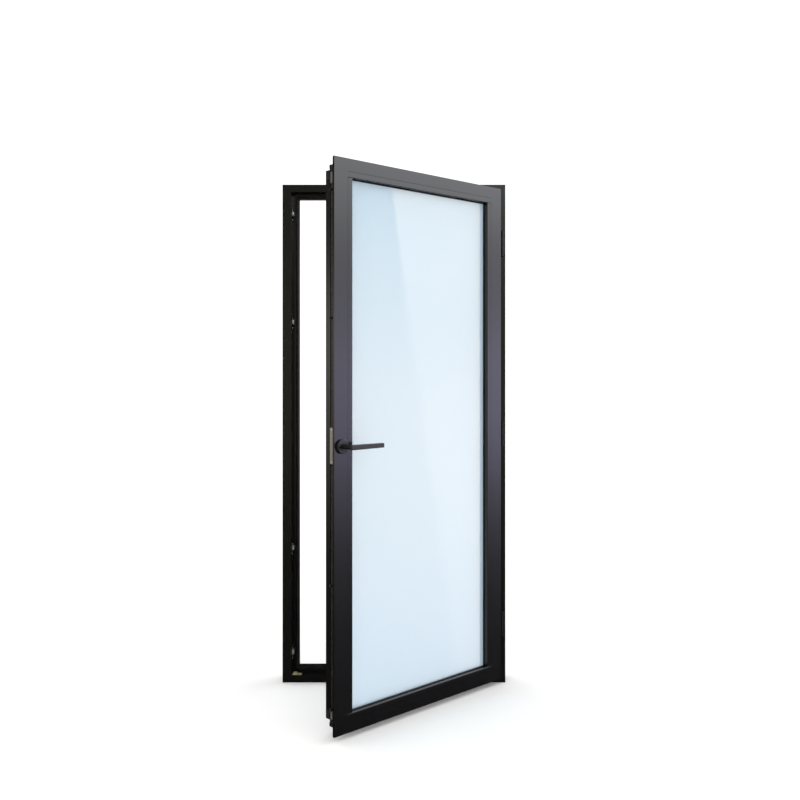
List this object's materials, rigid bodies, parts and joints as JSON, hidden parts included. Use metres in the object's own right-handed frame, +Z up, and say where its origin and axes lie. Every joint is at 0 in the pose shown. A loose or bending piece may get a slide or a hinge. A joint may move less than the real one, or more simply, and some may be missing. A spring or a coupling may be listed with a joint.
{
  "type": "glass door with frame",
  "caption": "Side-hung glass door leaf with insulated glass in a slim black aluminium frame, standing open, with rod lock and lever handle.",
  "frame": {"origin": "under the middle of the frame's sill, at half the frame's depth", "axes": "+X towards the hinge jamb, +Y from the side the leaf opens to towards the far side, +Z up"},
  "size_m": [0.94, 0.7674, 2.1],
  "materials": {
    "painted_profile": "satin black powder coat on extruded aluminium",
    "black_hardware": "satin black coated zinc and steel",
    "cast_cleat": "plain cast aluminium, unseen inside the chambers",
    "zinc_keep": "bright zinc plate",
    "steel_screw": "plated steel screws",
    "steel_gear": "zinc plated steel lock parts",
    "brushed_faceplate": "brushed stainless steel",
    "grey_guide": "dark grey moulded plastic",
    "black_rubber": "matt black rubber seal",
    "black_plastic": "matt black moulded plastic",
    "tan_plastic": "tan moulded plastic",
    "spacer": "dark warm-edge spacer",
    "clear_glass": "clear float glass with a faint blue cast",
    "satin_glass": "pale blue opal glass, polished outside, that lets light through but no view"
  },
  "bodies": {
    "outer_frame": {"jamb_lock": "painted_profile", "jamb_hinge": "painted_profile", "head": "painted_profile", "sill": "painted_profile", "frame_cleat_1": "cast_cleat", "frame_cleat_2": "cast_cleat", "frame_cleat_3": "cast_cleat", "frame_cleat_4": "cast_cleat", "stop_seal": "black_rubber", "keep_1": "zinc_keep", "keep_2": "zinc_keep", "keep_3": "zinc_keep", "keep_4": "zinc_keep", "keep_screws": "steel_screw", "run_up_block": "tan_plastic", "run_up_screw": "steel_screw", "hinge_frame_plate_1": "black_hardware", "hinge_frame_plate_2": "black_hardware", "hinge_frame_plate_3": "black_hardware", "hinge_pins": "black_hardware", "hinge_bushes": "black_plastic", "hinge_frame_screws": "steel_screw"},
    "leaf": {"stile_lock": "painted_profile", "stile_hinge": "painted_profile", "rail_top": "painted_profile", "rail_bottom": "painted_profile", "spigot_1": "cast_cleat", "spigot_2": "cast_cleat", "spigot_3": "cast_cleat", "spigot_4": "cast_cleat", "spigot_screws": "steel_screw", "rail_end_plugs": "black_plastic", "bead_lock": "painted_profile", "bead_hinge": "painted_profile", "bead_top": "painted_profile", "bead_bottom": "painted_profile", "pane_front": "satin_glass", "pane_back": "clear_glass", "spacer_bar": "spacer", "edge_sealant": "black_rubber", "setting_blocks": "black_plastic", "gasket_front": "black_rubber", "gasket_back": "black_rubber", "flange_seal": "black_rubber", "hinge_leaf_plate_1": "black_hardware", "hinge_leaf_plate_2": "black_hardware", "hinge_leaf_plate_3": "black_hardware", "hinge_leaf_screws": "steel_screw", "gearbox_case": "steel_gear", "faceplate": "brushed_faceplate", "faceplate_screws": "steel_screw", "rod_guides": "grey_guide", "rose_base": "steel_gear", "rose_cover": "black_hardware", "rose_screws": "steel_screw"},
    "handle": {"lever": "black_hardware", "spindle": "steel_gear", "pinion": "steel_gear"},
    "lock_rod": {"drive_rod": "steel_gear", "cams": "steel_gear"}
  },
  "joints": [
    {"name": "door_swing", "type": "hinge", "parent": "outer_frame", "child": "leaf", "pos_m": [0.455, -0.054, 1.05], "axis": [0, 0, 1], "range_deg": [-45, 45]},
    {"name": "handle_turn", "type": "hinge", "parent": "leaf", "child": "handle", "pos_m": [-0.15544, -0.66869, 1.049], "axis": [-0.7071, 0.7071, 0], "range_deg": [0, 90]},
    {"name": "rod_slide", "type": "slide", "parent": "leaf", "child": "lock_rod", "axis": [0, 0, 1], "range_m": [0, 0.01273]}
  ],
  "couplings": [
    {"joint": "rod_slide", "follows": "handle_turn", "m_per_rad": 0.0081}
  ]
}
